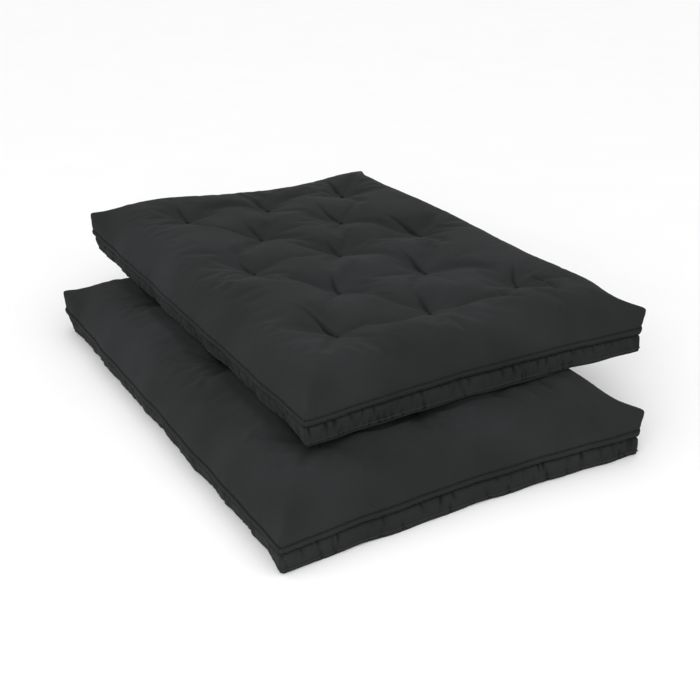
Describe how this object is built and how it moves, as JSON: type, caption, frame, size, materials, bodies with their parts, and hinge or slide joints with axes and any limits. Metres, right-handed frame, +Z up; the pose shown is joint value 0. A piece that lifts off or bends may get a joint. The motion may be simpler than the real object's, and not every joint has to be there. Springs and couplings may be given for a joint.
{
  "type": "futon mattress",
  "caption": "Tufted full-size futon mattresses in black covers, stacked one on the other; the upper lifts off and folds lengthwise for a sofa bed.",
  "frame": {"origin": "on the floor, at the middle of the stack's footprint", "axes": "+Z up, +Y along the mattresses' length towards the back, +X across them to the right"},
  "size_m": [1.547, 2.175, 0.4165],
  "materials": {
    "cover_cloth": "matte woven cotton and polyester twill, black",
    "seam_tape": "folded strip of the cover cloth, topstitched",
    "welt_cloth": "folded and overlocked seam in the cover cloth",
    "tuft_felt": "pressed wool felt, black",
    "twine": "waxed twisted twine, black",
    "cotton_batting": "carded cotton batting, undyed",
    "foam": "open-cell polyurethane foam sheet"
  },
  "bodies": {
    "lower_mattress": {"base_border_back": "cover_cloth", "base_border_front": "cover_cloth", "base_border_left": "cover_cloth", "base_border_right": "cover_cloth", "base_bottom_panel": "cover_cloth", "base_bottom_tufts": "tuft_felt", "base_bottom_welt": "welt_cloth", "base_lower_batting": "cotton_batting", "base_lower_foam": "foam", "base_middle_batting": "cotton_batting", "base_seam_tape": "seam_tape", "base_top_panel": "cover_cloth", "base_top_tufts": "tuft_felt", "base_tufting_twines": "twine", "base_upper_batting": "cotton_batting", "base_upper_foam": "foam"},
    "upper_seat_half": {"seat_border_back": "cover_cloth", "seat_border_front": "cover_cloth", "seat_border_left": "cover_cloth", "seat_bottom_panel": "cover_cloth", "seat_bottom_tufts": "tuft_felt", "seat_bottom_welt": "welt_cloth", "seat_lower_batting": "cotton_batting", "seat_lower_foam": "foam", "seat_middle_batting": "cotton_batting", "seat_seam_tape": "seam_tape", "seat_top_panel": "cover_cloth", "seat_top_tufts": "tuft_felt", "seat_tufting_twines": "twine", "seat_upper_batting": "cotton_batting", "seat_upper_foam": "foam"},
    "upper_back_half": {"back_border_back": "cover_cloth", "back_border_front": "cover_cloth", "back_border_right": "cover_cloth", "back_bottom_panel": "cover_cloth", "back_bottom_tufts": "tuft_felt", "back_bottom_welt": "welt_cloth", "back_lower_batting": "cotton_batting", "back_lower_foam": "foam", "back_middle_batting": "cotton_batting", "back_seam_tape": "seam_tape", "back_top_panel": "cover_cloth", "back_top_tufts": "tuft_felt", "back_tufting_twines": "twine", "back_upper_batting": "cotton_batting", "back_upper_foam": "foam"}
  },
  "joints": [
    {"name": "lift_off", "type": "slide", "parent": "lower_mattress", "child": "upper_seat_half", "axis": [0, 0, 1], "range_m": [0, 0.3]},
    {"name": "fold", "type": "hinge", "parent": "upper_seat_half", "child": "upper_back_half", "pos_m": [0.203, 0.1335, 0.4165], "axis": [0, -1, 0], "range_deg": [0, 90]}
  ]
}
